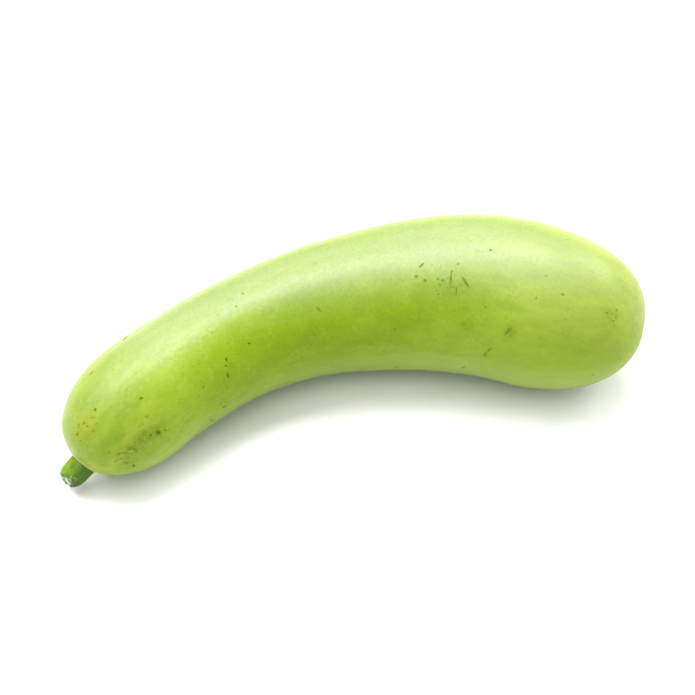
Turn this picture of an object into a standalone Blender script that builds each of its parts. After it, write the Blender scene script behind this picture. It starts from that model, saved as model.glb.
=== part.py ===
"""A bottle gourd lying on its side: a bent, club-shaped fruit with the cut stub of its stem.

Metres, +Z up. The fruit runs along X and bends in the XY plane, and its underside rests on the plane
Z = 0 at three low spots. The origin is the middle of the footprint, on that plane.
"""

import math

import bmesh
import bpy
from mathutils import Vector

# The line through the middle of the fruit, from the stem end to the blossom end, before ORIGIN is
# taken off. Its heights keep the underside on the floor under the neck, the bend and the bulb.
SPINE_POINTS = [
    (-0.1340, -0.0976, 0.0150),
    (-0.1227, -0.0880, 0.0250),
    (-0.1094, -0.0744, 0.0307),
    (-0.0910, -0.0537, 0.0311),
    (-0.0460, -0.0195, 0.0332),
    (0.0120, -0.0016, 0.0376),
    (0.0710, -0.0039, 0.0438),
    (0.1150, -0.0155, 0.0416),
    (0.1570, -0.0205, 0.0390),
]
ORIGIN = Vector((0.0054, -0.0354, 0.0))

# The fruit's thickness by distance along its spine: a neck that swells into a bulb, both ends rounded.
NECK_RADIUS = 0.0317
BULB_RADIUS = 0.0434
SWELL_START = 0.0910
SWELL_END = 0.2660
STEM_END_CAP = 0.0470
STEM_END_BLUNTNESS = 2.28
BLOSSOM_END_CAP = 0.0660
BLOSSOM_END_BLUNTNESS = 2.25

# The slow unevenness of a grown surface.
LUMP_HEIGHT = 0.0012
LUMP_SIZE = 0.0550

# The scar that the flower left: a corky nub in a shallow dimple at the blossom end.
DIMPLE_RADIUS = 0.0090
DIMPLE_DEPTH = 0.0010
NUB_RADIUS = 0.0028
NUB_HEIGHT = 0.0006

# The stem's stub: a ribbed thumb, widest at the fruit, whose rounded tip is sliced off at a slant.
STEM_ALONG = Vector((-0.68, -0.43, -0.59))
STEM_ROOT = 0.0080
STEM_LENGTH = 0.0154
STEM_TIP_CAP = 0.0080
STEM_FOOT_RADIUS = 0.0070
STEM_TIP_RADIUS = 0.0062
RIBS = 5
RIB_SHARE = 0.07
CUT_REACH = 0.0140
CUT_FACING = Vector((-0.65, -0.73, -0.19))
PITH_RADIUS = 0.0019
PITH_DEPTH = 0.0009

# The stem stands this far off the fruit, so that the two solids never share a point.
GAP = 0.0003

FRUIT_STATIONS = 80
FRUIT_SIDES = 60
STEM_STATIONS = 20
STEM_SIDES = 40


def clear_scene():
    for old in list(bpy.data.objects):
        bpy.data.objects.remove(old)


def new_collection(name):
    made = bpy.data.collections.new(name)
    bpy.context.scene.collection.children.link(made)
    return made


def material(name, colour, roughness):
    made = bpy.data.materials.new(name)
    made.use_nodes = True
    shader = made.node_tree.nodes["Principled BSDF"]
    shader.inputs["Base Color"].default_value = (*colour, 1.0)
    shader.inputs["Roughness"].default_value = roughness
    return made


def smoothstep(share):
    share = min(max(share, 0.0), 1.0)
    return share * share * (3 - 2 * share)


def make_helper(obj):
    """A guide or a cutter: it shapes the gourd and isn't part of it."""
    obj.hide_render = True
    obj.display_type = "WIRE"
    return obj


def spine_curve(helpers):
    data = bpy.data.curves.new("spine", "CURVE")
    data.dimensions = "3D"
    data.twist_mode = "Z_UP"
    data.resolution_u = 24
    spline = data.splines.new("BEZIER")
    spline.bezier_points.add(len(SPINE_POINTS) - 1)
    for knot, place in zip(spline.bezier_points, SPINE_POINTS):
        knot.co = Vector(place) - ORIGIN
        knot.handle_left_type = "AUTO"
        knot.handle_right_type = "AUTO"
    spine = make_helper(bpy.data.objects.new("spine", data))
    helpers.objects.link(spine)
    return spine


def cap_share(from_end, cap_length, bluntness):
    """The share of its full radius that a shape keeps this close to its rounded end."""
    if from_end >= cap_length:
        return 1.0
    return max(0.0, 1 - (1 - from_end / cap_length) ** bluntness) ** (1 / bluntness)


def fruit_radius(along, length):
    swell = smoothstep((along - SWELL_START) / (SWELL_END - SWELL_START))
    radius = NECK_RADIUS + (BULB_RADIUS - NECK_RADIUS) * swell
    radius *= cap_share(along, STEM_END_CAP, STEM_END_BLUNTNESS)
    return radius * cap_share(length - along, BLOSSOM_END_CAP, BLOSSOM_END_BLUNTNESS)


def scar_relief(radius):
    """How far the blossom end's scar moves the surface along the spine, by distance from its axis."""
    dimple = DIMPLE_DEPTH * (1 - smoothstep(radius / DIMPLE_RADIUS))
    nub = NUB_HEIGHT * (1 - smoothstep(2 * radius / NUB_RADIUS - 1))
    return nub - dimple


def fruit_profile(length):
    """(radius, distance along the spine) from the blossom end to the stem end, closest at the ends."""
    profile = []
    for station in range(FRUIT_STATIONS + 1):
        along = length * (1 + math.cos(math.pi * station / FRUIT_STATIONS)) / 2
        radius = fruit_radius(along, length)
        if along > length / 2:
            along += scar_relief(radius)
        profile.append((radius, along))
    return profile


def grown_fruit(name, spine, extra):
    """The fruit's profile turned about Z and bent along the spine, every surface moved out by extra."""
    profile = fruit_profile(spine.data.splines[0].calc_length())
    mesh = bpy.data.meshes.new(name)
    edges = [(i, i + 1) for i in range(len(profile) - 1)]
    mesh.from_pydata([(radius, 0.0, along) for radius, along in profile], edges, [])
    fruit = bpy.data.objects.new(name, mesh)

    turn = fruit.modifiers.new("turn", "SCREW")
    turn.steps = turn.render_steps = FRUIT_SIDES
    turn.use_merge_vertices = True
    turn.merge_threshold = 0.00005

    bend = fruit.modifiers.new("bend", "CURVE")
    bend.object = spine
    bend.deform_axis = "POS_Z"

    texture = bpy.data.textures.new("lumps", "CLOUDS")
    texture.noise_scale = LUMP_SIZE
    texture.noise_depth = 0
    lumps = fruit.modifiers.new("lumps", "DISPLACE")
    lumps.texture = texture
    lumps.texture_coords = "LOCAL"
    lumps.strength = LUMP_HEIGHT
    if extra:
        grow = fruit.modifiers.new("grow", "DISPLACE")
        grow.mid_level = 0.0
        grow.strength = extra
    return fruit


def closed_mesh(obj):
    """The object as its modifiers leave it, with loose caps welded on and faces pointing out."""
    bpy.context.view_layer.update()
    graph = bpy.context.evaluated_depsgraph_get()
    mesh = bpy.data.meshes.new_from_object(obj.evaluated_get(graph))
    shape = bmesh.new()
    shape.from_mesh(mesh)
    bmesh.ops.remove_doubles(shape, verts=shape.verts, dist=0.00001)
    bmesh.ops.recalc_face_normals(shape, faces=shape.faces)
    shape.to_mesh(mesh)
    shape.free()
    return mesh


def rested_fruit(spine, gourd):
    """The fruit with its low spots pressed flat where they meet the floor."""
    grown = grown_fruit("grown_fruit", spine, 0.0)
    gourd.objects.link(grown)
    mesh = closed_mesh(grown)
    bpy.data.objects.remove(grown)
    for vertex in mesh.vertices:
        vertex.co.z = max(vertex.co.z, 0.0)
    mesh.shade_smooth()
    fruit = bpy.data.objects.new("fruit", mesh)
    gourd.objects.link(fruit)
    return fruit


def stem_place(reach):
    """The point this far out along the stem, from where the fruit's skin meets it."""
    return Vector(SPINE_POINTS[0]) - ORIGIN + STEM_ALONG.normalized() * reach


def stem_stations():
    """(place, radius) along the stem, from its root inside the fruit to its rounded tip."""
    stations = []
    for station in range(STEM_STATIONS):
        share = math.sin(math.pi / 2 * station / STEM_STATIONS)
        reach = (STEM_ROOT + STEM_LENGTH) * share - STEM_ROOT
        radius = STEM_FOOT_RADIUS + (STEM_TIP_RADIUS - STEM_FOOT_RADIUS) * share**2
        stations.append((stem_place(reach), radius * cap_share(STEM_LENGTH - reach, STEM_TIP_CAP, 2)))
    return stations


def rib_outline(helpers):
    """The stem's section one metre in radius, which the stem's own radius scales."""
    data = bpy.data.curves.new("rib_outline", "CURVE")
    data.dimensions = "2D"
    spline = data.splines.new("POLY")
    spline.points.add(STEM_SIDES - 1)
    for side, corner in enumerate(spline.points):
        angle = 2 * math.pi * side / STEM_SIDES
        radius = 1 + RIB_SHARE * math.cos(RIBS * angle)
        corner.co = (radius * math.cos(angle), radius * math.sin(angle), 0.0, 1.0)
    spline.use_cyclic_u = True
    outline = make_helper(bpy.data.objects.new("rib_outline", data))
    helpers.objects.link(outline)
    return outline


def swept_stem(outline, gourd):
    """The ribbed section swept along the stem's line, as a closed mesh."""
    data = bpy.data.curves.new("stem_sweep", "CURVE")
    data.dimensions = "3D"
    data.bevel_mode = "OBJECT"
    data.bevel_object = outline
    data.use_fill_caps = True
    stations = stem_stations()
    spline = data.splines.new("POLY")
    spline.points.add(len(stations) - 1)
    for knot, (place, radius) in zip(spline.points, stations):
        knot.co = (*place, 1.0)
        knot.radius = radius
    sweep = bpy.data.objects.new("stem_sweep", data)
    gourd.objects.link(sweep)
    stem = bpy.data.objects.new("stem", closed_mesh(sweep))
    bpy.data.objects.remove(sweep)
    gourd.objects.link(stem)
    return stem


def cut(target, cutter):
    trim = target.modifiers.new(cutter.name, "BOOLEAN")
    trim.operation = "DIFFERENCE"
    trim.object = cutter


def adopt_cutter(name, helpers, facing):
    """Names the primitive just added, turns its Z along facing and keeps it as a helper."""
    cutter = make_helper(bpy.context.active_object)
    cutter.name = name
    cutter.rotation_mode = "QUATERNION"
    cutter.rotation_quaternion = facing.to_track_quat("Z", "Y")
    for holder in list(cutter.users_collection):
        holder.objects.unlink(cutter)
    helpers.objects.link(cutter)
    return cutter


def cut_stem(spine, gourd, helpers):
    """The stem with its foot fitted to the fruit, its slanted cut and the sunken pith."""
    stem = swept_stem(rib_outline(helpers), gourd)
    clearance = make_helper(grown_fruit("fruit_clearance", spine, GAP))
    helpers.objects.link(clearance)
    cut(stem, clearance)

    facing = CUT_FACING.normalized()
    cut_centre = stem_place(CUT_REACH)
    size = 6 * STEM_FOOT_RADIUS
    bpy.ops.mesh.primitive_cube_add(size=size, location=cut_centre + facing * size / 2)
    cut(stem, adopt_cutter("slanted_knife", helpers, facing))

    bpy.ops.mesh.primitive_uv_sphere_add(segments=20, ring_count=10, radius=1.0, location=cut_centre)
    hollow = adopt_cutter("pith_hollow", helpers, facing)
    hollow.scale = (PITH_RADIUS, PITH_RADIUS, PITH_DEPTH)
    cut(stem, hollow)
    return stem


def main():
    clear_scene()
    gourd = new_collection("bottle_gourd")
    helpers = new_collection("helpers")
    spine = spine_curve(helpers)

    fruit = rested_fruit(spine, gourd)
    fruit.data.materials.append(material("pale_green_skin", (0.40, 0.60, 0.06), 0.42))

    stem = cut_stem(spine, gourd, helpers)
    stem.data.shade_smooth()
    stem.data.set_sharp_from_angle(angle=math.radians(40))
    stem.data.materials.append(material("green_stem", (0.09, 0.23, 0.02), 0.55))


main()
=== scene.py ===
"""The looks of a bottle gourd lying on its side: the waxy skin with the marks that it grew with, the
blossom scar, the cut stub of the stem, and a plain studio. Metres, +Z up, in the part's own frame.
"""

import math

import bmesh
import bpy
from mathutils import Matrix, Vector


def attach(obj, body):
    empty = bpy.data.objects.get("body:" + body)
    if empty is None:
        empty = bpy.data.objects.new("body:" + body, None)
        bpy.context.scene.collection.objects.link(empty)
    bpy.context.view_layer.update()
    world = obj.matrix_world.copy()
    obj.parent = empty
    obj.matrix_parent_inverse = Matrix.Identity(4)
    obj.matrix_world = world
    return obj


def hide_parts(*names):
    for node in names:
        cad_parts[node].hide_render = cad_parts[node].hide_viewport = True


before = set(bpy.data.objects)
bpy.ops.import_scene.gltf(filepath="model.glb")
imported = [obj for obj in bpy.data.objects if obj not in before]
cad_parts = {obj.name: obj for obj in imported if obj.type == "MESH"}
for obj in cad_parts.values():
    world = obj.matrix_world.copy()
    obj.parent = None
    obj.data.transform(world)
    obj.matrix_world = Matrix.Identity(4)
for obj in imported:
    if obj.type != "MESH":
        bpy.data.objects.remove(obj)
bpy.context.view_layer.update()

MM = 0.001
# How many places on the spine the skin is measured from, how far a ray may go to meet the skin, and how
# far a scab's rim lies above what it is on.
SPINE_PLACES = 600
RAY_REACH = 100 * MM
RIM_LIFT = 0.012 * MM

# The line through the middle of the fruit, from the stem end to the blossom end, as the part has it.
SPINE_POINTS = [
    (-0.1394, -0.0622, 0.0150),
    (-0.1281, -0.0526, 0.0250),
    (-0.1148, -0.0390, 0.0307),
    (-0.0964, -0.0183, 0.0311),
    (-0.0514, 0.0159, 0.0332),
    (0.0066, 0.0338, 0.0376),
    (0.0656, 0.0315, 0.0438),
    (0.1096, 0.0199, 0.0416),
    (0.1516, 0.0149, 0.0390),
]
STEM_FOOT = Vector(SPINE_POINTS[0])
BLOSSOM_TIP = Vector(SPINE_POINTS[-1])
BLOSSOM_INWARD = (Vector(SPINE_POINTS[-2]) - BLOSSOM_TIP).normalized()

# The stem's stub: the way it grows, how long it is, the way its slanted cut faces, and the side with
# painted light.
STEM_ALONG = Vector((-0.68, -0.43, -0.59)).normalized()
STEM_LENGTH = 14 * MM
CUT_CENTRE = STEM_FOOT + STEM_ALONG * STEM_LENGTH
CUT_FACING = Vector((-0.65, -0.73, -0.19)).normalized()
PAINTED_LIGHT_SIDE = Vector((-0.55, 0.30, 0.78)).normalized()

# The fruit's rough measures, in millimetres: its length along the spine, how thick it is, where the neck
# starts to swell and how long that takes, and how long its round ends are.
SPINE_LENGTH = 331.4
NECK_RADIUS = 31.7
BULB_RADIUS = 43.4
SWELL_START = 91
SWELL_LENGTH = 175
CAP_LENGTH = 44

# Marks on the skin: (along, around, length, width, heading). Along is measured on the spine from the
# stem end and lengths are across the mark, in millimetres. Around is 0 at the top and grows towards
# the inside of the bend. A heading of 0 runs along the fruit. Both are in degrees. The last marks of
# each list are on the outside of the bend and underneath.
DARK_DOTS = [
    (22, 8, 2.2, 1.7, 0), (35, 33, 2.4, 1.6, 20), (16, 89, 3.6, 2.0, 98), (32, 69, 3.4, 2.6, 60),
    (29, 66, 1.6, 1.4, 0), (35, 72, 1.8, 1.2, 40), (21, 67, 2.0, 1.4, 0), (84, 51, 2.4, 1.5, 90),
    (82, 56, 1.9, 1.3, 90), (81, 65, 4.4, 1.6, 95), (74, 96, 2.4, 1.8, 0), (66, 105, 2.2, 1.6, 30),
    (65, 61, 1.6, 1.2, 0), (102, 49, 1.8, 1.4, 0), (60, -120, 2.3, 1.5, 80), (35, 170, 2.0, 1.6, 0),
]
FAINT_DOTS = [
    (213, 34, 2.2, 1.8, 0), (218, 38, 1.9, 1.6, 0), (248, 14, 1.9, 1.5, 0), (286, 34, 2.0, 1.7, 0),
    (307, 42, 1.9, 1.6, 0), (312, 38, 1.8, 1.6, 0), (311, 48, 1.7, 1.4, 0), (318, 91, 2.2, 1.6, 40),
    (238, 57, 1.7, 1.3, 0), (250, 55, 1.6, 1.3, 0), (225, 48, 1.5, 1.2, 0), (14, 66, 1.7, 1.4, 0),
    (20, 64, 3.4, 2.2, 20), (21, 71, 2.6, 1.8, 100), (17, 72, 2.6, 1.7, 30), (15, 68, 2.2, 1.5, 70),
    (16, 61, 2.2, 1.5, 10), (13, 67, 1.9, 1.5, 0), (31, 71, 2.2, 1.5, 50), (28, 69, 1.9, 1.5, 0),
    (15, 77, 2.4, 1.7, 60), (32, 49, 1.8, 1.5, 0), (14, 52, 1.7, 1.4, 0), (24, 66, 2.0, 1.3, 30),
    (120, -140, 2.2, 1.7, 10), (180, -95, 1.9, 1.5, 0), (262, -70, 2.0, 1.6, 60), (140, 160, 1.9, 1.6, 0),
    (225, -150, 2.3, 1.7, 30), (300, -110, 1.8, 1.4, 0),
]
HONEY_SPOTS = [
    (16, 7, 2.4, 1.8, 30), (12, 8, 2.6, 2.0, 0), (16, 13, 1.8, 1.3, 60), (14, 4, 1.6, 1.3, 0),
    (16, 21, 1.6, 1.2, 20), (19, 11, 1.5, 1.2, 0), (11, 16, 1.4, 1.2, 40), (186, -112, 2.4, 1.7, 30),
    (194, -106, 1.8, 1.4, 0),
]
SCRATCHES = [
    (31, -28, 3.8, 1.4, 6), (53, -36, 6.5, 1.4, -26), (150, 44, 4.0, 1.2, 56), (216, 26, 3.8, 1.3, -42),
    (238, 39, 7.5, 1.5, 53), (266, 68, 6.4, 1.6, -67), (257, 86, 4.4, 1.3, -50), (254, 91, 5.0, 1.5, -69),
    (193, 118, 4.0, 1.5, -31), (238, 111, 5.0, 1.5, -52), (218, -34, 4.4, 1.4, -6), (231, 36, 7.0, 0.9, 91),
    (234, 46, 6.0, 0.8, 93), (90, -80, 6.0, 1.2, 20), (205, -115, 5.0, 1.1, -60), (285, -60, 4.5, 1.1, 75),
    (160, -60, 4.0, 1.1, 40), (50, 150, 5.0, 1.2, -15), (270, 165, 6.0, 1.2, 35), (110, 130, 4.0, 1.1, 80),
]
# Places where the skin rubbed and healed in many small specks: (along, around, reach), in the same terms.
RUBBED_PATCHES = [(17, 9, 9), (32, 69, 8), (19, 66, 11), (232, 42, 17), (311, 43, 12), (250, -120, 18)]
# Soft stains under the skin: (along, around, reach), in the same terms.
HONEY_STAINS = [(16, 8, 9), (20, 12, 6), (190, -110, 12)]
GREEN_STAINS = [
    (32, 69, 6), (27, 62, 5), (23, 67, 6), (18, 64, 6), (15, 78, 5), (84, 58, 4), (255, 90, 5),
    (267, 68, 5), (76, 97, 4), (233, 41, 9), (240, 70, 5), (311, 44, 8), (120, 120, 9),
]

# The colours of the skin.
LIME = (0.190, 0.280, 0.003)
YELLOW_LIME = (0.216, 0.308, 0.008)
# RIPE_END is also laid on the bulb's top, which makes it paler there as painted light.
RIPE_END = (0.296, 0.364, 0.044)
LEAF_GREEN = (0.136, 0.240, 0.003)
OLIVE = (0.112, 0.164, 0.002)
PALE_FLECK = (0.300, 0.376, 0.060)
COLLAR_CREAM = (0.460, 0.500, 0.270)
HONEY_STAIN = (0.256, 0.300, 0.005)
# Painted reflection: the pale colour of the white floor mirrored on the skin's underside.
FLOOR_REFLECTION_PALE = (0.300, 0.360, 0.110)
# Partly the waxy bloom's own whitish colour and partly a painted highlight along the top.
BLOOM_AND_HIGHLIGHT_WHITE = (0.200, 0.240, 0.110)
GREEN_STAIN = (0.120, 0.180, 0.002)
BLOSSOM_HALO = (0.300, 0.350, 0.080)
BLOSSOM_SCAR = (0.150, 0.115, 0.045)

# The skin's gloss, and that of its waxy bloom.
SKIN_SHINE = 0.15
SKIN_ROUGHNESS = (0.40, 0.52)
BLOOM_ROUGHNESS = 0.40
BLOOM_IOR = 1.65

# The colours of the scars.
DARK_SCAB = (0.056, 0.096, 0.001)
HEALED_SCRATCH = (0.096, 0.134, 0.010)
FAINT_SCAB = (0.108, 0.146, 0.018)
HONEY_SCAB = (0.150, 0.150, 0.008)
SCAB_ROUGHNESS = 0.7
SCAB_SHINE = 0.08
CORK = (0.130, 0.100, 0.040)
CORK_RIM = (0.280, 0.270, 0.090)

# The colours of the stem's bark and of its cut.
BARK_HOLLOW = (0.026, 0.075, 0.003)
BARK_RIB = (0.055, 0.135, 0.004)
# Painted light: the bark's colour on the side that faces the light.
BARK_PAINTED_LIGHT = (0.190, 0.310, 0.006)
BARK_FIBRE = (0.085, 0.165, 0.004)
BARK_BLOTCH = (0.030, 0.075, 0.003)
# Painted highlight: pale dashes on the ribs towards the cut, where light glints on them.
BARK_RIB_HIGHLIGHT = (0.380, 0.440, 0.180)
BARK_SHINE = 0.25
CUT_DAMP = (0.035, 0.065, 0.008)
CUT_PULP = (0.600, 0.680, 0.400)
CUT_RIM = (0.080, 0.150, 0.015)
VESSEL_PORE = (0.050, 0.060, 0.015)
VESSEL_RIM = (0.700, 0.780, 0.500)

# The studio: a wide card as its floor, the room's own light, and softboxes that all aim at one spot on
# the gourd, each given as (place, width and depth, watts).
CARD_GREY = (0.86, 0.86, 0.86)
CARD_WHITE = (0.89, 0.89, 0.89)
FLOOR_SIZE = 12.0
ROOM_LIGHT = 0.82
LIGHTS_AIM = (0.0, 0.02, 0.04)
LIGHTS = {
    "overhead_softbox": ((-0.12, 0.28, 0.95), (1.2, 0.45), 13.0),
    "back_softbox": ((-0.35, 1.0, 0.85), (1.3, 0.60), 6.0),
    "left_softbox": ((-1.3, 0.4, 1.3), (0.8, 0.8), 13.0),
    "right_softbox": ((1.3, 0.9, 1.0), (0.8, 0.8), 15.5),
    "low_right_softbox": ((1.4, 0.3, 0.40), (0.6, 0.6), 3.5),
    "front_softbox": ((-0.4, -0.6, 1.5), (1.2, 0.8), 6.0),
}

# The camera: the spot it looks at, the way from there back to it, how far off it is, and its lens and
# sensor in millimetres.
CAMERA_AIM = Vector((-0.0054, 0.0354, 0.0))
CAMERA_BACK = Vector((0, -1, 1)).normalized()
CAMERA_DISTANCE = 1.06
CAMERA_LENS = 100
CAMERA_SENSOR = 36


# ---------------------------------------------------------------- node trees


def plug(tree, socket, value):
    """Links an output to an input, or sets the input's own value."""
    if isinstance(value, bpy.types.NodeSocket):
        tree.links.new(value, socket)
    else:
        socket.default_value = value


def add(tree, kind, fills=None, **settings):
    """Adds a node with these settings and fills its inputs, by name or by place."""
    made = tree.nodes.new(kind)
    for name, value in settings.items():
        setattr(made, name, value)
    for key, value in (fills or {}).items():
        plug(tree, made.inputs[key], value)
    return made


def maths(tree, operation, *values):
    return add(tree, "ShaderNodeMath", dict(enumerate(values)), operation=operation).outputs[0]


def times(tree, value, *shares):
    """A value multiplied by each of these shares."""
    for share in shares:
        value = maths(tree, "MULTIPLY", value, share)
    return value


def vectors(tree, operation, *values):
    made = add(tree, "ShaderNodeVectorMath", dict(enumerate(values)), operation=operation)
    return made.outputs["Value" if operation in ("DOT_PRODUCT", "LENGTH", "DISTANCE") else "Vector"]


def scaled(tree, vector, share):
    made = add(tree, "ShaderNodeVectorMath", {0: vector, "Scale": share}, operation="SCALE")
    return made.outputs["Vector"]


def split(tree, vector):
    """A vector's X, Y and Z outputs."""
    return add(tree, "ShaderNodeSeparateXYZ", {0: vector}).outputs


def joined(tree, x=0.0, y=0.0, z=0.0):
    return add(tree, "ShaderNodeCombineXYZ", {"X": x, "Y": y, "Z": z}).outputs[0]


def rise(tree, value, start, end, low=0.0, high=1.0):
    """A smooth step from low to high as value goes from start to end."""
    fills = {"Value": value, "From Min": start, "From Max": end, "To Min": low, "To Max": high}
    return add(tree, "ShaderNodeMapRange", fills, interpolation_type="SMOOTHSTEP").outputs["Result"]


def noise(tree, place, scale, detail=2.0, roughness=0.5):
    """Noise from 0 to 1 at a place: scale is how many of its lumps fit in a metre."""
    fills = {"Vector": place, "Scale": scale, "Detail": detail, "Roughness": roughness}
    return add(tree, "ShaderNodeTexNoise", fills).outputs[0]


def swing(tree, value, reach):
    """A value from 0 to 1 made to swing evenly round zero, over this reach."""
    return times(tree, maths(tree, "SUBTRACT", value, 0.5), reach)


def geometry_tree(name, inputs):
    """(tree, its given values, its output) for a Geometry Nodes tree that takes a mesh and these named
    inputs, {name: (socket kind, value)}, and gives a mesh."""
    tree = bpy.data.node_groups.new(name, "GeometryNodeTree")
    tree.interface.new_socket("Geometry", in_out="INPUT", socket_type="NodeSocketGeometry")
    tree.interface.new_socket("Geometry", in_out="OUTPUT", socket_type="NodeSocketGeometry")
    for label, (kind, value) in inputs.items():
        made = tree.interface.new_socket(label, in_out="INPUT", socket_type="NodeSocket" + kind)
        if value is not None:
            made.default_value = value
    return tree, add(tree, "NodeGroupInput").outputs, add(tree, "NodeGroupOutput").inputs


def named(tree, name, kind="FLOAT"):
    return add(tree, "GeometryNodeInputNamedAttribute", {"Name": name}, data_type=kind).outputs[0]


def store(tree, geometry, name, value, kind="FLOAT"):
    fills = {"Geometry": geometry, "Name": name, "Value": value}
    return add(tree, "GeometryNodeStoreNamedAttribute", fills, data_type=kind).outputs[0]


def position(tree):
    return add(tree, "GeometryNodeInputPosition").outputs[0]


def normal_here(tree):
    return add(tree, "GeometryNodeInputNormal").outputs[0]


def random(tree, low, high, seed):
    """A random number for each point."""
    fills = {2: low, 3: high, "Seed": seed}
    return add(tree, "FunctionNodeRandomValue", fills, data_type="FLOAT").outputs[1]


def object_mesh(tree, socket):
    return add(tree, "GeometryNodeObjectInfo", {"Object": socket}).outputs["Geometry"]


def nearest_value(tree, mesh, vector):
    """A mesh's vector field, read at each point from the nearest spot of the mesh."""
    fills = {"Mesh": mesh, "Value": vector}
    return add(tree, "GeometryNodeSampleNearestSurface", fills, data_type="FLOAT_VECTOR").outputs[0]


def thrown_onto(tree, mesh, start, direction):
    """Where a ray from start in this direction meets a mesh."""
    fills = {
        "Target Geometry": mesh,
        "Source Position": start,
        "Ray Direction": direction,
        "Ray Length": RAY_REACH,
    }
    return add(tree, "GeometryNodeRaycast", fills).outputs["Hit Position"]


def points_at(tree, mesh, place):
    """One point for each corner of a mesh, moved to this place."""
    return add(tree, "GeometryNodeMeshToPoints", {"Mesh": mesh, "Position": place}).outputs[0]


def unit_ring(tree, count):
    """(mesh, the X and Y outputs of its corners) for a ring of this many corners, one unit in radius."""
    ring = add(tree, "GeometryNodeMeshCircle", {"Vertices": count, "Radius": 1.0}).outputs[0]
    return ring, split(tree, position(tree))


def finish_tree(tree, geometry, material, into):
    """Ends a tree as plain, smooth geometry in one material."""
    real = add(tree, "GeometryNodeRealizeInstances", {"Geometry": geometry}).outputs[0]
    smooth = add(tree, "GeometryNodeSetShadeSmooth", {"Geometry": real}).outputs[0]
    painted = add(tree, "GeometryNodeSetMaterial", {"Geometry": smooth, "Material": material}).outputs[0]
    plug(tree, into["Geometry"], painted)


def settle(name, obj, tree, values):
    """Runs a tree on an object with these values, and puts the plain mesh it makes in a new object."""
    modifier = obj.modifiers.new(tree.name, "NODES")
    modifier.node_group = tree
    for item in tree.interface.items_tree:
        if item.name in values and item.in_out == "INPUT":
            modifier[item.identifier] = values[item.name]
    bpy.context.view_layer.update()
    graph = bpy.context.evaluated_depsgraph_get()
    mesh = bpy.data.meshes.new_from_object(obj.evaluated_get(graph))
    mesh.name = name
    bpy.data.objects.remove(obj)
    piece = bpy.data.objects.new(name, mesh)
    bpy.context.scene.collection.objects.link(piece)
    return piece


# ---------------------------------------------------------------- guides


def linked(name, data):
    made = bpy.data.objects.new(name, data)
    bpy.context.scene.collection.objects.link(made)
    return made


def spine_guide():
    data = bpy.data.curves.new("spine_guide", "CURVE")
    data.dimensions = "3D"
    data.resolution_u = 48
    spline = data.splines.new("BEZIER")
    spline.bezier_points.add(len(SPINE_POINTS) - 1)
    for knot, place in zip(spline.bezier_points, SPINE_POINTS):
        knot.co = place
        knot.handle_left_type = "AUTO"
        knot.handle_right_type = "AUTO"
    return linked("spine_guide", data)


def merged_copy(name, node):
    """A copy of a CAD node as one closed mesh, with its triangles paired into four-sided faces."""
    mesh = node.data.copy()
    mesh.materials.clear()
    shape = bmesh.new()
    shape.from_mesh(mesh)
    bmesh.ops.remove_doubles(shape, verts=shape.verts, dist=0.005 * MM)
    bmesh.ops.join_triangles(
        shape, faces=shape.faces, angle_face_threshold=0.6, angle_shape_threshold=0.8
    )
    shape.to_mesh(mesh)
    shape.free()
    for layer in list(mesh.uv_layers):
        mesh.uv_layers.remove(layer)
    return linked(name, mesh)


def scab_guide():
    """A blunt scab one unit in reach, whose crown attribute runs from 0 at its rim to 1 in its middle."""
    rings, sides = (1.0, 0.7, 0.35), 10
    mesh = bpy.data.meshes.new("scab_guide")
    shape = bmesh.new()
    crown = shape.verts.layers.float.new("crown")
    middle = shape.verts.new((0, 0, 0))
    middle[crown] = 1.0
    loops = []
    for radius in rings:
        loop = []
        for side in range(sides):
            turn = 2 * math.pi * side / sides
            blunt = (abs(math.cos(turn)) ** 3 + abs(math.sin(turn)) ** 3) ** (-1 / 3)
            reach = radius * blunt
            corner = shape.verts.new((reach * math.cos(turn), reach * math.sin(turn), 0))
            corner[crown] = 1 - radius
            loop.append(corner)
        loops.append(loop)
    for side in range(sides):
        after = (side + 1) % sides
        for outer, inner in zip(loops, loops[1:]):
            shape.faces.new((outer[side], outer[after], inner[after], inner[side]))
        shape.faces.new((loops[-1][side], loops[-1][after], middle))
    shape.to_mesh(mesh)
    shape.free()
    return linked("scab_guide", mesh)


def mark_points(name, marks):
    """A mesh of loose points that carry each mark's place and size for the tree that lays them."""
    mesh = bpy.data.meshes.new(name)
    mesh.from_pydata([(0, 0, 0)] * len(marks), [], [])
    columns = {
        "along": [mark[0] * MM for mark in marks],
        "around": [math.radians(mark[1]) for mark in marks],
        "half_length": [mark[2] * MM / 2 for mark in marks],
        "half_width": [mark[3] * MM / 2 for mark in marks],
        "heading": [math.radians(mark[4]) for mark in marks],
    }
    for label, values in columns.items():
        mesh.attributes.new(label, "FLOAT", "POINT").data.foreach_set("value", values)
    return linked(name, mesh)


# ---------------------------------------------------------------- geometry trees


def frame_across(tree, tangent):
    """(side, up) across the fruit: side points to the inside of the bend."""
    side = vectors(tree, "NORMALIZE", vectors(tree, "CROSS_PRODUCT", tangent, (0, 0, 1)))
    return side, vectors(tree, "CROSS_PRODUCT", side, tangent)


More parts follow.
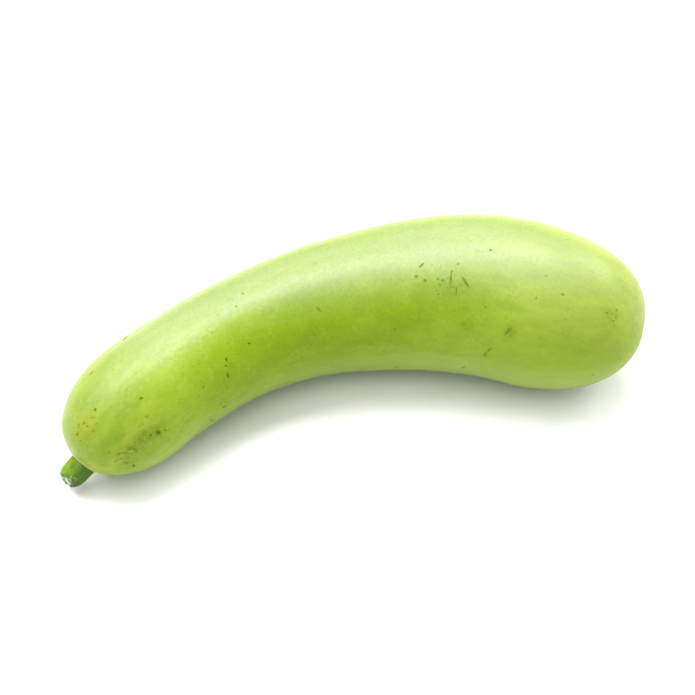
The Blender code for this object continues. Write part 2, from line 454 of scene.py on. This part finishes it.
def unbent_place(tree, spine):
    """Where each point would be if the fruit were straight: (side, up, along)."""
    along = add(tree, "GeometryNodeSplineParameter").outputs["Length"]
    marked = store(tree, spine, "spine_length", along)
    sampled = add(tree, "GeometryNodeCurveToPoints", {"Curve": marked, "Count": SPINE_PLACES},
                  mode="COUNT")
    points = store(tree, sampled.outputs["Points"], "spine_tangent", sampled.outputs["Tangent"],
                   "FLOAT_VECTOR")
    place = position(tree)
    nearest = add(tree, "GeometryNodeSampleNearest", {"Geometry": points, "Sample Position": place})

    def at_nearest(value, kind):
        fills = {"Geometry": points, "Value": value, "Index": nearest.outputs[0]}
        return add(tree, "GeometryNodeSampleIndex", fills, data_type=kind).outputs[0]

    centre = at_nearest(place, "FLOAT_VECTOR")
    tangent = at_nearest(named(tree, "spine_tangent", "FLOAT_VECTOR"), "FLOAT_VECTOR")
    length = at_nearest(named(tree, "spine_length"), "FLOAT")
    away = vectors(tree, "SUBTRACT", place, centre)
    side, up = frame_across(tree, tangent)
    past = vectors(tree, "DOT_PRODUCT", away, tangent)
    return joined(tree, vectors(tree, "DOT_PRODUCT", away, side), vectors(tree, "DOT_PRODUCT", away, up),
                  maths(tree, "ADD", length, past))


def rind_radius(along):
    """The fruit's rough radius this far from its stem end, both in millimetres."""
    swell = min(max((along - SWELL_START) / SWELL_LENGTH, 0.0), 1.0)
    radius = NECK_RADIUS + (BULB_RADIUS - NECK_RADIUS) * swell * swell * (3 - 2 * swell)
    short = max(0.0, 1 - min(along, SPINE_LENGTH - along) / CAP_LENGTH)
    return radius * math.sqrt(max(0.0, 1 - short * short))


def near_spot(tree, unbent, spot, most):
    """How near each place is to a spot, given as (along, around, reach): most in its middle and 0 past
    its reach."""
    along, around, reach = spot
    turn = math.radians(around)
    radius = rind_radius(along)
    middle = (radius * math.sin(turn) * MM, radius * math.cos(turn) * MM, along * MM)
    away = vectors(tree, "DISTANCE", unbent, middle)
    return rise(tree, away, 0.2 * reach * MM, reach * MM, most, 0.0)


def skin_tree():
    """Smooths the fruit's solid, notes its unbent places, and raises the relief that grew on it."""
    tree, given, into = geometry_tree("grow_skin", {
        "Spine": ("Object", None),
        "Smoothing": ("Int", 2),
        "Ridge Height": ("Float", 0.16 * MM),
        "Ridges per Metre": ("Float", 70.0),
        "Collar Height": ("Float", 0.7 * MM),
        "Collar Radius": ("Float", 7.6 * MM),
        "Material": ("Material", None),
    })
    fills = {"Mesh": given["Geometry"], "Level": given["Smoothing"]}
    smooth = add(tree, "GeometryNodeSubdivisionSurface", fills).outputs[0]
    unbent = unbent_place(tree, object_mesh(tree, given["Spine"]))
    grown = store(tree, smooth, "unbent", unbent, "FLOAT_VECTOR")

    drawn_out = vectors(tree, "MULTIPLY", named(tree, "unbent", "FLOAT_VECTOR"), (1, 1, 0.25))
    lumps = noise(tree, drawn_out, given["Ridges per Metre"], 2.0, 0.4)
    off_floor = rise(tree, split(tree, position(tree))["Z"], 0.3 * MM, 4 * MM)
    ridges = times(tree, swing(tree, lumps, given["Ridge Height"]), off_floor)

    from_foot = vectors(tree, "DISTANCE", position(tree), tuple(STEM_FOOT))
    past_collar = maths(tree, "DIVIDE", from_foot, given["Collar Radius"])
    lip = times(tree, rise(tree, past_collar, 0.6, 1.0), rise(tree, past_collar, 1.05, 1.9, 1, 0))
    relief = maths(tree, "ADD", ridges, times(tree, lip, given["Collar Height"]))

    raised = add(tree, "GeometryNodeSetPosition",
                 {"Geometry": grown, "Offset": scaled(tree, normal_here(tree), relief)}).outputs[0]
    finish_tree(tree, raised, given["Material"], into)
    return tree


def lay_scabs(tree, points, scab, ground, normal, heading, size, height):
    """Puts a scab on each point, turned to its normal and heading, and presses it onto the ground, so
    that its rim lies just above it and its crown swells to this height."""
    turn = add(tree, "FunctionNodeAxesToRotation", {"Primary Axis": normal, "Secondary Axis": heading},
               primary_axis="Z", secondary_axis="X")
    fills = {"Points": points, "Instance": scab, "Rotation": turn.outputs[0], "Scale": size}
    copies = add(tree, "GeometryNodeInstanceOnPoints", fills).outputs[0]
    real = add(tree, "GeometryNodeRealizeInstances", {"Geometry": copies}).outputs[0]
    nearest = add(tree, "GeometryNodeProximity", {"Geometry": ground}, target_element="FACES")
    outward = nearest_value(tree, ground, normal_here(tree))
    unbent = nearest_value(tree, ground, named(tree, "unbent", "FLOAT_VECTOR"))
    marked = store(tree, real, "unbent", unbent, "FLOAT_VECTOR")
    swell = times(tree, rise(tree, named(tree, "crown"), 0.0, 1.0), height)
    lift = scaled(tree, outward, maths(tree, "ADD", swell, RIM_LIFT))
    fills = {"Geometry": marked, "Position": vectors(tree, "ADD", nearest.outputs["Position"], lift)}
    return add(tree, "GeometryNodeSetPosition", fills).outputs[0]


def marks_tree():
    """Lays the listed marks: each point is thrown from the spine out to the skin."""
    tree, given, into = geometry_tree("lay_marks", {
        "Spine": ("Object", None),
        "Skin": ("Object", None),
        "Scab": ("Object", None),
        "Height": ("Float", 0.06 * MM),
        "Material": ("Material", None),
    })
    skin = object_mesh(tree, given["Skin"])
    fills = {"Curves": object_mesh(tree, given["Spine"]), "Length": named(tree, "along")}
    along = add(tree, "GeometryNodeSampleCurve", fills, mode="LENGTH")
    side, up = frame_across(tree, along.outputs["Tangent"])
    around, heading = named(tree, "around"), named(tree, "heading")

    def turned(angle, first, second):
        return vectors(tree, "ADD", scaled(tree, first, maths(tree, "COSINE", angle)),
                       scaled(tree, second, maths(tree, "SINE", angle)))

    outward = turned(around, up, side)
    onward = turned(around, side, scaled(tree, up, -1.0))
    hit = thrown_onto(tree, skin, along.outputs["Position"], outward)
    points = store(tree, points_at(tree, given["Geometry"], hit), "mark_heading",
                   turned(heading, along.outputs["Tangent"], onward), "FLOAT_VECTOR")
    size = joined(tree, named(tree, "half_length"), named(tree, "half_width"), MM)
    laid = lay_scabs(tree, points, object_mesh(tree, given["Scab"]), skin,
                     nearest_value(tree, skin, normal_here(tree)),
                     named(tree, "mark_heading", "FLOAT_VECTOR"), size, given["Height"])
    finish_tree(tree, laid, given["Material"], into)
    return tree


def specks_tree():
    """Scatters small specks over the skin, thinly all over and thickly in the rubbed patches."""
    tree, given, into = geometry_tree("scatter_specks", {
        "Scab": ("Object", None),
        "Thin Density": ("Float", 2500.0),
        "Patch Density": ("Float", 60000.0),
        "Smallest": ("Float", 0.30 * MM),
        "Largest": ("Float", 0.75 * MM),
        "Height": ("Float", 0.04 * MM),
        "Seed": ("Int", 7),
        "Material": ("Material", None),
    })
    unbent = named(tree, "unbent", "FLOAT_VECTOR")
    density = given["Thin Density"]
    for spot in RUBBED_PATCHES:
        inside = near_spot(tree, unbent, spot, most=1.0)
        density = maths(tree, "ADD", density, times(tree, inside, given["Patch Density"]))
    gathered = rise(tree, noise(tree, unbent, 120.0, 2.0), 0.42, 0.62)
    off_floor = rise(tree, split(tree, position(tree))["Z"], 1 * MM, 3 * MM)
    density = times(tree, density, gathered, off_floor)
    scattered = add(tree, "GeometryNodeDistributePointsOnFaces",
                    {"Mesh": given["Geometry"], "Density": density, "Seed": given["Seed"]})

    turn = random(tree, 0.0, math.pi, 1)
    heading = joined(tree, maths(tree, "COSINE", turn), maths(tree, "SINE", turn))
    mostly_small = maths(tree, "POWER", random(tree, 0.0, 1.0, 2), 2.0)
    spread = times(tree, mostly_small, maths(tree, "SUBTRACT", given["Largest"], given["Smallest"]))
    radius = maths(tree, "ADD", spread, given["Smallest"])
    size = joined(tree, times(tree, radius, random(tree, 1.0, 1.8, 3)), radius, MM)
    laid = lay_scabs(tree, scattered.outputs["Points"], object_mesh(tree, given["Scab"]),
                     given["Geometry"], scattered.outputs["Normal"], heading, size, given["Height"])
    finish_tree(tree, laid, given["Material"], into)
    return tree


def along_stem(tree, across, along, share):
    """A place on the stem drawn out along it: a small share makes what grows there long."""
    return vectors(tree, "ADD", across, scaled(tree, tuple(STEM_ALONG), times(tree, along, share)))


def stem_tree():
    """Notes how deep each point lies below the cut and where it lies along the stem, then raises the
    fibres along the bark and the grain of the cut, and sinks the foot into the fruit."""
    tree, given, into = geometry_tree("grow_stem", {
        "Fibre Height": ("Float", 0.28 * MM),
        "Grain Height": ("Float", 0.18 * MM),
        "Foot Sunk": ("Float", 1.2 * MM),
        "Material": ("Material", None),
    })
    place = position(tree)
    from_foot = vectors(tree, "SUBTRACT", place, tuple(STEM_FOOT))
    along = vectors(tree, "DOT_PRODUCT", from_foot, tuple(STEM_ALONG))
    depth = vectors(tree, "DOT_PRODUCT", vectors(tree, "SUBTRACT", tuple(CUT_CENTRE), place),
                    tuple(CUT_FACING))
    across = vectors(tree, "SUBTRACT", from_foot, scaled(tree, tuple(STEM_ALONG), along))
    stem = store(tree, given["Geometry"], "stem_along", along)
    stem = store(tree, stem, "stem_radius", vectors(tree, "LENGTH", across))
    stem = store(tree, stem, "cut_depth", depth)
    stem = store(tree, stem, "stem_across", across, "FLOAT_VECTOR")

    on_cut = rise(tree, named(tree, "cut_depth"), 0.1 * MM, 0.5 * MM, 1, 0)
    on_bark = maths(tree, "SUBTRACT", 1.0, on_cut)
    up_stem = named(tree, "stem_along")
    drawn_out = along_stem(tree, named(tree, "stem_across", "FLOAT_VECTOR"), up_stem, 0.12)
    fibres = times(tree, swing(tree, noise(tree, drawn_out, 700.0, 3.0), given["Fibre Height"]), on_bark)
    grain = times(tree, swing(tree, noise(tree, place, 900.0, 3.0), given["Grain Height"]), on_cut)
    offset = scaled(tree, normal_here(tree), maths(tree, "ADD", fibres, grain))
    at_foot = rise(tree, up_stem, 0.5 * MM, 1.6 * MM, 1, 0)
    sunk = scaled(tree, tuple(STEM_ALONG), times(tree, at_foot, given["Foot Sunk"]))
    offset = vectors(tree, "SUBTRACT", offset, sunk)
    raised = add(tree, "GeometryNodeSetPosition", {"Geometry": stem, "Offset": offset}).outputs[0]
    finish_tree(tree, raised, given["Material"], into)
    return tree


def vessels_tree():
    """Sets the stem's cut vessels in a ring on its cut face."""
    tree, given, into = geometry_tree("set_vessels", {
        "Stem": ("Object", None),
        "Scab": ("Object", None),
        "Vessels": ("Int", 10),
        "Ring Radius": ("Float", 3.6 * MM),
        "Smallest": ("Float", 0.45 * MM),
        "Largest": ("Float", 0.75 * MM),
        "Height": ("Float", 0.08 * MM),
        "Seed": ("Int", 3),
        "Material": ("Material", None),
    })
    across = STEM_ALONG.cross(Vector((0, 0, 1))).normalized()
    rising = across.cross(CUT_FACING).normalized()
    ring, corner = unit_ring(tree, given["Vessels"])
    reach = times(tree, given["Ring Radius"], random(tree, 0.8, 1.12, given["Seed"]))
    place = vectors(tree, "ADD", scaled(tree, tuple(across), times(tree, corner["X"], reach)),
                    scaled(tree, tuple(rising), times(tree, corner["Y"], reach)))
    points = points_at(tree, ring, vectors(tree, "ADD", place, tuple(CUT_CENTRE)))
    radius = random(tree, given["Smallest"], given["Largest"], given["Seed"])
    size = joined(tree, radius, radius, MM)
    laid = lay_scabs(tree, points, object_mesh(tree, given["Scab"]), object_mesh(tree, given["Stem"]),
                     tuple(CUT_FACING), tuple(across), size, given["Height"])
    finish_tree(tree, laid, given["Material"], into)
    return tree


def blossom_tree():
    """Sets the corky rays that the flower left in a ring round the blossom end."""
    tree, given, into = geometry_tree("set_blossom_rays", {
        "Skin": ("Object", None),
        "Scab": ("Object", None),
        "Rays": ("Int", 22),
        "Spread": ("Float", 0.16),
        "Half Length": ("Float", 1.7 * MM),
        "Half Width": ("Float", 0.32 * MM),
        "Height": ("Float", 0.16 * MM),
        "Seed": ("Int", 5),
        "Material": ("Material", None),
    })
    side = BLOSSOM_INWARD.cross(Vector((0, 0, 1))).normalized()
    up = side.cross(BLOSSOM_INWARD).normalized()
    inside = BLOSSOM_TIP + BLOSSOM_INWARD * 25 * MM
    start = add(tree, "FunctionNodeInputVector", vector=inside).outputs[0]
    ring, corner = unit_ring(tree, given["Rays"])
    spoke = vectors(tree, "ADD", scaled(tree, tuple(side), corner["X"]),
                    scaled(tree, tuple(up), corner["Y"]))
    tilt = times(tree, given["Spread"], random(tree, 0.7, 1.2, given["Seed"]))
    aim = vectors(tree, "ADD", tuple(-BLOSSOM_INWARD), scaled(tree, spoke, tilt))
    skin = object_mesh(tree, given["Skin"])
    rays = store(tree, ring, "spoke", spoke, "FLOAT_VECTOR")
    points = points_at(tree, rays, thrown_onto(tree, skin, start, aim))
    size = joined(tree, given["Half Length"], given["Half Width"], MM)
    laid = lay_scabs(tree, points, object_mesh(tree, given["Scab"]), skin, tuple(-BLOSSOM_INWARD),
                     named(tree, "spoke", "FLOAT_VECTOR"), size, given["Height"])
    finish_tree(tree, laid, given["Material"], into)
    return tree


# ---------------------------------------------------------------- materials


def new_material(name):
    """(material, its node tree, its Principled shader)"""
    made = bpy.data.materials.new(name)
    made.use_nodes = True
    return made, made.node_tree, made.node_tree.nodes["Principled BSDF"]


def attribute(tree, name, output="Fac"):
    return add(tree, "ShaderNodeAttribute", attribute_name=name).outputs[output]


def object_place(tree):
    return add(tree, "ShaderNodeTexCoord").outputs["Object"]


def blend(tree, share, first, second):
    """Two colours mixed: each is (r, g, b) or an output."""
    opaque = [colour if isinstance(colour, bpy.types.NodeSocket) else (*colour, 1.0)
              for colour in (first, second)]
    fills = {0: share, 6: opaque[0], 7: opaque[1]}
    return add(tree, "ShaderNodeMix", fills, data_type="RGBA").outputs[2]


def bump(tree, shader, height, distance):
    fills = {"Height": height, "Strength": 1.0, "Distance": distance}
    plug(tree, shader.inputs["Normal"], add(tree, "ShaderNodeBump", fills).outputs["Normal"])


def stained(tree, colour, unbent, spots, stain, most):
    """The colour with soft, ragged stains at these spots."""
    ragged = rise(tree, noise(tree, unbent, 520.0, 4.0, 0.7), 0.42, 0.62, 0.15, 1.0)
    for spot in spots:
        colour = blend(tree, times(tree, near_spot(tree, unbent, spot, most), ragged), colour, stain)
    return colour


def pricked(tree, unbent, cells, reach, gathers, most):
    """Soft pricks, one to a cell and only where they gather: cells and gathers are counted in a metre."""
    away = add(tree, "ShaderNodeTexVoronoi", {"Vector": unbent, "Scale": cells}).outputs["Distance"]
    some = rise(tree, noise(tree, unbent, gathers, 3.0, 0.6), 0.40, 0.62)
    return times(tree, rise(tree, away, 0.3 * reach, reach, most, 0.0), some)


def facing_out(tree, unbent):
    """The way each spot on the skin faces, straight out from the spine: (side, up, 0)."""
    return vectors(tree, "NORMALIZE", vectors(tree, "MULTIPLY", unbent, (1, 1, 0)))


def upward(tree, unbent):
    """How far up each spot on the skin faces: 1 on top, 0 at the sides and -1 underneath."""
    return split(tree, facing_out(tree, unbent))["Y"]


def bloomed(tree, unbent, start, end):
    """How much of its waxy bloom each spot kept, from 0 to 1: the most along a crest on the top, and
    little at both ends. The crest is a little to the outside of the bend on the neck, and crosses to a
    little inside it on the bulb. Start and end say how squarely a spot has to face the crest's way."""
    along = split(tree, unbent)["Z"]
    lean = rise(tree, along, 70 * MM, 170 * MM, -0.20, 0.10)
    crest = joined(tree, maths(tree, "SINE", lean), maths(tree, "COSINE", lean))
    kept = rise(tree, vectors(tree, "DOT_PRODUCT", facing_out(tree, unbent), crest), start, end)
    handled = rise(tree, along, 20 * MM, 65 * MM, 0.3, 1.0)
    bulb_end = rise(tree, along, 280 * MM, 322 * MM, 1.0, 0.15)
    return times(tree, kept, times(tree, handled, bulb_end))


def ripened(tree, unbent):
    """Lime green that drifts to yellow, riper towards the bulb and at the stem end, and paler on the bulb's
    top as painted light.
    """
    along = split(tree, unbent)["Z"]
    half_drawn = vectors(tree, "MULTIPLY", unbent, (1, 1, 0.45))
    drift = rise(tree, noise(tree, half_drawn, 24.0, 2.0), 0.35, 0.68)
    colour = blend(tree, drift, LIME, YELLOW_LIME)
    # Painted light: on the bulb the ripe yellow goes mostly on the top, which faces the light.
    painted_light_on_top = rise(tree, upward(tree, unbent), -0.1, 0.8, 0.2, 1.0)
    ripe = times(tree, rise(tree, along, 190 * MM, 320 * MM), painted_light_on_top)
    colour = blend(tree, ripe, colour, RIPE_END)
    return blend(tree, rise(tree, along, 10 * MM, 80 * MM, 0.65, 0.0), colour, RIPE_END)


def mottled(tree, unbent, colour):
    """The colour under leaf green clouds, mottle and drawn-out streaks, olive pricks and pores, and pale
    flecks. Most of them fade on the riper bulb."""
    half_drawn = vectors(tree, "MULTIPLY", unbent, (1, 1, 0.45))
    drawn_out = vectors(tree, "MULTIPLY", unbent, (1, 1, 0.12))
    unripe = rise(tree, split(tree, unbent)["Z"], 190 * MM, 290 * MM, 1.0, 0.55)
    clouds = rise(tree, noise(tree, half_drawn, 60.0, 3.0, 0.55), 0.46, 0.66, 0.0, 0.45)
    colour = blend(tree, times(tree, clouds, unripe), colour, LEAF_GREEN)
    mottle = rise(tree, noise(tree, half_drawn, 200.0, 5.0, 0.65), 0.40, 0.70, 0.0, 0.48)
    colour = blend(tree, times(tree, mottle, unripe), colour, LEAF_GREEN)
    streaks = rise(tree, noise(tree, drawn_out, 230.0, 4.0, 0.6), 0.32, 0.68, 0.0, 0.18)
    colour = blend(tree, streaks, colour, LEAF_GREEN)
    pricks = pricked(tree, unbent, cells=420.0, reach=0.42, gathers=130.0, most=0.42)
    colour = blend(tree, times(tree, pricks, unripe), colour, OLIVE)
    pores = pricked(tree, unbent, cells=900.0, reach=0.48, gathers=70.0, most=0.40)
    colour = blend(tree, times(tree, pores, unripe), colour, OLIVE)
    flecks = pricked(tree, unbent, cells=330.0, reach=0.60, gathers=90.0, most=0.22)
    return blend(tree, flecks, colour, PALE_FLECK)


def with_bloom_and_painted_sheen(tree, unbent, colour):
    """The colour painted pale underneath as a painted reflection of the floor, and whitish in drawn-out
    patches along the top: partly the bloom's own colour, partly a painted highlight.
    """
    # Painted reflection: the underside is painted paler, as if it mirrored the white floor.
    underneath = rise(tree, upward(tree, unbent), -0.50, 0.12, 0.5, 0.0)
    colour = blend(tree, underneath, colour, FLOOR_REFLECTION_PALE)
    drawn_out = vectors(tree, "MULTIPLY", unbent, (1, 1, 0.12))
    # Painted highlight, partly the bloom's own colour: whitish patches along the top where the light
    # shines.
    patchy = rise(tree, noise(tree, drawn_out, 160.0, 3.0, 0.6), 0.3, 0.7, 0.3, 0.5)
    whitish = times(tree, patchy, bloomed(tree, unbent, start=0.84, end=0.99))
    return blend(tree, whitish, colour, BLOOM_AND_HIGHLIGHT_WHITE)


def with_ends(tree, colour):
    """The colour with the cream collar round the stem, and the blossom's scar in its pale halo."""
    place = object_place(tree)
    from_stem = vectors(tree, "DISTANCE", place, tuple(STEM_FOOT))
    from_tip = vectors(tree, "DISTANCE", place, tuple(BLOSSOM_TIP))
    colour = blend(tree, rise(tree, from_stem, 7.5 * MM, 12.5 * MM, 0.85, 0.0), colour, COLLAR_CREAM)
    colour = blend(tree, rise(tree, from_tip, 4 * MM, 13 * MM, 0.55, 0.0), colour, BLOSSOM_HALO)
    return blend(tree, rise(tree, from_tip, 2.0 * MM, 3.6 * MM, 0.9, 0.0), colour, BLOSSOM_SCAR)


def skin_colour(tree):
    """The rind's whole colour, which the scars fade into at their edges."""
    unbent = attribute(tree, "unbent", "Vector")
    colour = mottled(tree, unbent, ripened(tree, unbent))
    colour = stained(tree, colour, unbent, HONEY_STAINS, HONEY_STAIN, most=0.85)
    colour = stained(tree, colour, unbent, GREEN_STAINS, GREEN_STAIN, most=0.75)
    return with_ends(tree, with_bloom_and_painted_sheen(tree, unbent, colour))


def skin_material():
    """Smooth rind under a waxy bloom, which is thick along the top and patchy everywhere."""
    material, tree, shader = new_material("gourd_skin")
    plug(tree, shader.inputs["Base Color"], skin_colour(tree))
    unbent = attribute(tree, "unbent", "Vector")
    smears = noise(tree, vectors(tree, "MULTIPLY", unbent, (1, 1, 0.3)), 260.0, 4.0, 0.6)
    plug(tree, shader.inputs["Roughness"], rise(tree, smears, 0.3, 0.7, *SKIN_ROUGHNESS))
    bump(tree, shader, noise(tree, unbent, 900.0, 3.0, 0.6), 0.05 * MM)
    shader.inputs["Specular IOR Level"].default_value = SKIN_SHINE
    thick = bloomed(tree, unbent, start=0.56, end=0.96)
    patchy = rise(tree, noise(tree, unbent, 700.0, 4.0, 0.7), 0.3, 0.7, 0.5, 1.0)
    plug(tree, shader.inputs["Coat Weight"], times(tree, thick, patchy))
    shader.inputs["Coat Roughness"].default_value = BLOOM_ROUGHNESS
    shader.inputs["Coat IOR"].default_value = BLOOM_IOR
    return material


def scab_material(name, middle, most):
    """Healed tissue with a ragged edge that fades into the skin's own colour: most is how much of its
    colour shows in its middle."""
    material, tree, shader = new_material(name)
    crown = attribute(tree, "crown")
    grain = noise(tree, object_place(tree), 1100.0, 3.0, 0.6)
    ragged = rise(tree, maths(tree, "ADD", crown, swing(tree, grain, 1.3)), 0.05, 0.50, 0.0, most)
    share = times(tree, ragged, rise(tree, crown, 0.0, 0.35))
    plug(tree, shader.inputs["Base Color"], blend(tree, share, skin_colour(tree), middle))
    shader.inputs["Roughness"].default_value = SCAB_ROUGHNESS
    shader.inputs["Specular IOR Level"].default_value = SCAB_SHINE
    return material


def dry_material(name, middle, rim, roughness):
    """Dry tissue, one colour in its middle and another at its rim."""
    material, tree, shader = new_material(name)
    grain = noise(tree, object_place(tree), 2500.0, 2.0)
    inner = rise(tree, maths(tree, "ADD", attribute(tree, "crown"), swing(tree, grain, 0.3)), 0.1, 0.6)
    plug(tree, shader.inputs["Base Color"], blend(tree, inner, rim, middle))
    shader.inputs["Roughness"].default_value = roughness
    bump(tree, shader, grain, 0.05 * MM)
    return material


def bark_colour(tree, across, along, radius, fibre):
    """Green bark: lighter on its ribs, streaked, blotched, painted lighter on one side as painted light,
    and with painted highlight dashes on the ribs.
    """
    colour = blend(tree, rise(tree, radius, 5.6 * MM, 7.0 * MM), BARK_HOLLOW, BARK_RIB)
    # Painted light: the side of the stem that faces the light is painted lighter.
    lit = vectors(tree, "DOT_PRODUCT", across, tuple(PAINTED_LIGHT_SIDE))
    colour = blend(tree, rise(tree, lit, -0.5 * MM, 5.5 * MM, 0.0, 0.9), colour, BARK_PAINTED_LIGHT)
    colour = blend(tree, rise(tree, fibre, 0.42, 0.66, 0.0, 0.5), colour, BARK_FIBRE)
    blotch = noise(tree, along_stem(tree, across, along, 0.7), 420.0, 3.0, 0.6)
    colour = blend(tree, rise(tree, blotch, 0.46, 0.70, 0.0, 0.5), colour, BARK_BLOTCH)
    # Painted highlight: pale dashes laid on the ribs towards the cut.
    short_lines = noise(tree, along_stem(tree, across, along, 0.5), 800.0, 2.0)
    dashes = rise(tree, short_lines, 0.52, 0.60, 0.0, 0.8)
    on_ribs = rise(tree, radius, 6.0 * MM, 6.7 * MM)
    towards_cut = rise(tree, along, 4 * MM, 11 * MM)
    return blend(tree, times(tree, on_ribs, towards_cut, dashes), colour, BARK_RIB_HIGHLIGHT)


def cut_colour(tree, radius):
    """The stem's cut: pale pulp with damp gaps, greener towards its rim."""
    pulp = rise(tree, noise(tree, object_place(tree), 520.0, 3.0, 0.65), 0.47, 0.56)
    flesh = blend(tree, pulp, CUT_DAMP, CUT_PULP)
    return blend(tree, rise(tree, radius, 4.8 * MM, 6.2 * MM, 0.0, 0.6), flesh, CUT_RIM)


def stem_material():
    """Fibrous green bark that ends in a pale, drying cut."""
    material, tree, shader = new_material("stem_green")
    across = attribute(tree, "stem_across", "Vector")
    along = attribute(tree, "stem_along")
    radius = attribute(tree, "stem_radius")
    fibre = noise(tree, along_stem(tree, across, along, 0.12), 900.0, 3.0, 0.6)
    on_cut = rise(tree, attribute(tree, "cut_depth"), 0.15 * MM, 0.9 * MM, 1, 0)
    bark = bark_colour(tree, across, along, radius, fibre)
    plug(tree, shader.inputs["Base Color"], blend(tree, on_cut, bark, cut_colour(tree, radius)))
    plug(tree, shader.inputs["Roughness"], rise(tree, fibre, 0.3, 0.7, 0.42, 0.62))
    shader.inputs["Specular IOR Level"].default_value = BARK_SHINE
    bump(tree, shader, fibre, 0.10 * MM)
    return material


def floor_material():
    """Plain white card with the faintest tooth."""
    material, tree, shader = new_material("white_card")
    tooth = noise(tree, object_place(tree), 60.0, 2.0)
    plug(tree, shader.inputs["Base Color"], blend(tree, tooth, CARD_GREY, CARD_WHITE))
    shader.inputs["Roughness"].default_value = 0.9
    shader.inputs["Specular IOR Level"].default_value = 0.2
    return material


# ---------------------------------------------------------------- the gourd


def dress(piece, node):
    """Puts a finished piece on the part's body: node is the CAD node that it stands for, if any."""
    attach(piece, "root")
    if node:
        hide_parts(node)


def make_skin(spine, material):
    solid = merged_copy("skin_solid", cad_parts["fruit"])
    return settle("skin", solid, skin_tree(), {"Spine": spine, "Material": material})


def make_stem(material):
    solid = merged_copy("stem_solid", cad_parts["stem"])
    finer = solid.modifiers.new("finer", "REMESH")
    finer.mode = "VOXEL"
    finer.voxel_size = 0.25 * MM
    return settle("stem_stub", solid, stem_tree(), {"Material": material})


def build_gourd():
    """Makes every piece of the gourd, puts it on the part's body, and takes the guides away."""
    spine, scab = spine_guide(), scab_guide()
    skin = make_skin(spine, skin_material())
    stem = make_stem(stem_material())
    faint = scab_material("faint_scab", FAINT_SCAB, most=0.75)
    kinds = {
        "dark_dots": (DARK_DOTS, scab_material("dark_scab", DARK_SCAB, most=0.92)),
        "scratches": (SCRATCHES, scab_material("healed_scratch", HEALED_SCRATCH, most=0.80)),
        "faint_dots": (FAINT_DOTS, faint),
        "honey_spots": (HONEY_SPOTS, scab_material("honey_scab", HONEY_SCAB, most=0.80)),
    }
    lay = marks_tree()
    on_skin = []
    for name, (marks, material) in kinds.items():
        guides = {"Spine": spine, "Skin": skin, "Scab": scab, "Material": material}
        on_skin.append(settle(name, mark_points(name + "_points", marks), lay, guides))
    on_skin.append(settle("specks", linked("speck_ground", skin.data), specks_tree(),
                          {"Scab": scab, "Material": faint}))
    cork = dry_material("blossom_cork", CORK, CORK_RIM, roughness=0.8)
    on_skin.append(settle("blossom_rays", mark_points("ray_ground", []), blossom_tree(),
                          {"Skin": skin, "Scab": scab, "Material": cork}))
    pore = dry_material("cut_vessel", VESSEL_PORE, VESSEL_RIM, roughness=0.6)
    vessels = settle("stem_vessels", mark_points("vessel_ground", []), vessels_tree(),
                     {"Stem": stem, "Scab": scab, "Material": pore})

    dress(skin, "fruit")
    dress(stem, "stem")
    for piece in on_skin:
        dress(piece, None)
    dress(vessels, None)
    for guide in (spine, scab):
        bpy.data.objects.remove(guide)


# ---------------------------------------------------------------- studio


def build_floor():
    bpy.ops.mesh.primitive_plane_add(size=FLOOR_SIZE, location=(0, 0, 0))
    floor = bpy.context.active_object
    floor.name = "floor"
    floor.data.materials.append(floor_material())


def add_softbox(name, place, size, power):
    data = bpy.data.lights.new(name, "AREA")
    data.shape = "RECTANGLE"
    data.size, data.size_y = size
    data.energy = power
    light = linked(name, data)
    light.location = place
    light.rotation_mode = "QUATERNION"
    light.rotation_quaternion = (Vector(LIGHTS_AIM) - Vector(place)).to_track_quat("-Z", "Y")


def light_studio():
    world = bpy.data.worlds.new("white_room")
    bpy.context.scene.world = world
    world.use_nodes = True
    room = world.node_tree.nodes["Background"].inputs
    room["Color"].default_value = (1, 1, 1, 1)
    room["Strength"].default_value = ROOM_LIGHT
    for name, (place, size, power) in LIGHTS.items():
        add_softbox(name, place, size, power)


def add_camera():
    """Looks down at 45 degrees, straight across the fruit's length."""
    data = bpy.data.cameras.new("camera")
    data.lens = CAMERA_LENS
    data.sensor_width = CAMERA_SENSOR
    camera = linked("camera", data)
    camera.location = CAMERA_AIM + CAMERA_BACK * CAMERA_DISTANCE
    camera.rotation_mode = "QUATERNION"
    camera.rotation_quaternion = (-CAMERA_BACK).to_track_quat("-Z", "Y")
    bpy.context.scene.camera = camera


build_gourd()
build_floor()
light_studio()
add_camera()
bpy.context.scene.view_settings.view_transform = "Standard"
